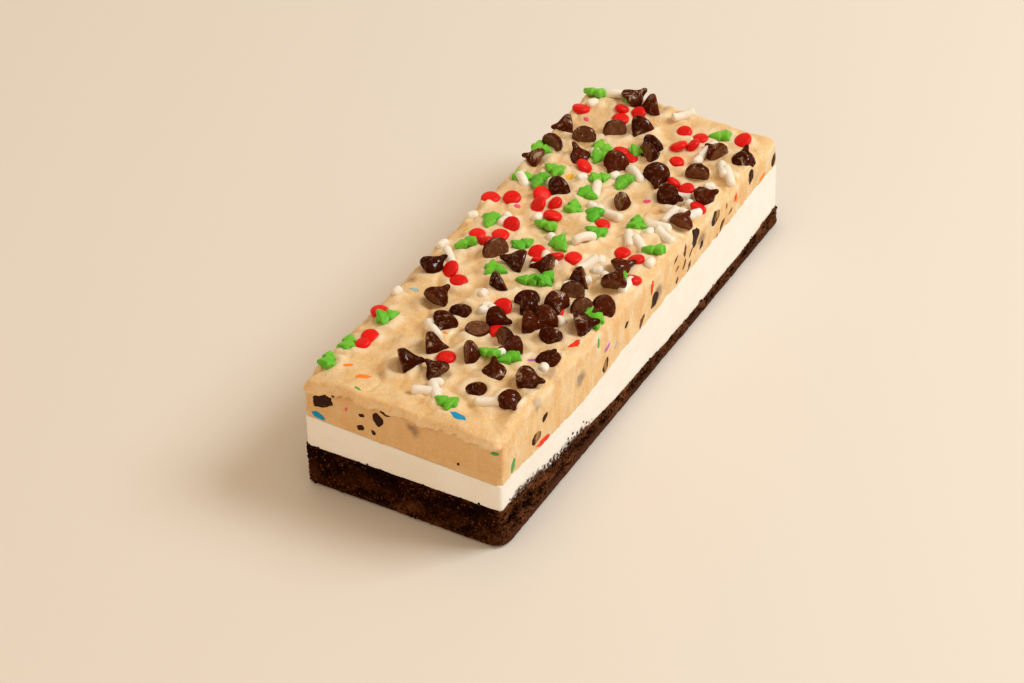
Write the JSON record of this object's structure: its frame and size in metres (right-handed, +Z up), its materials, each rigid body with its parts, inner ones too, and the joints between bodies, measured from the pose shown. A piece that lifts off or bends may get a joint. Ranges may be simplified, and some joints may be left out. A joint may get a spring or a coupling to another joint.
{
  "type": "cookie dough ice cream sandwich bar",
  "caption": "Oblong frozen dessert bar: brownie base, white ice cream layer and a thick cookie dough top pressed full of chocolate chips and sugar sprinkles.",
  "frame": {"origin": "centre of the box round the whole bar, on the plane it rests on", "axes": "+Y along the bar, from the short end face that looks at the viewer to the far end; +X to the viewer's right; +Z up through the layers"},
  "size_m": [0.05, 0.1324, 0.0344],
  "materials": {
    "brownie": "matt dark crumb of baked brownie",
    "ice_cream": "smooth, satin, slightly translucent frozen cream",
    "cookie_dough": "soft satin raw dough with a fine sugar grain"
  },
  "bodies": {
    "root": {"brownie_base": "brownie", "ice_cream_layer": "ice_cream", "cookie_dough": "cookie_dough"}
  },
  "joints": []
}
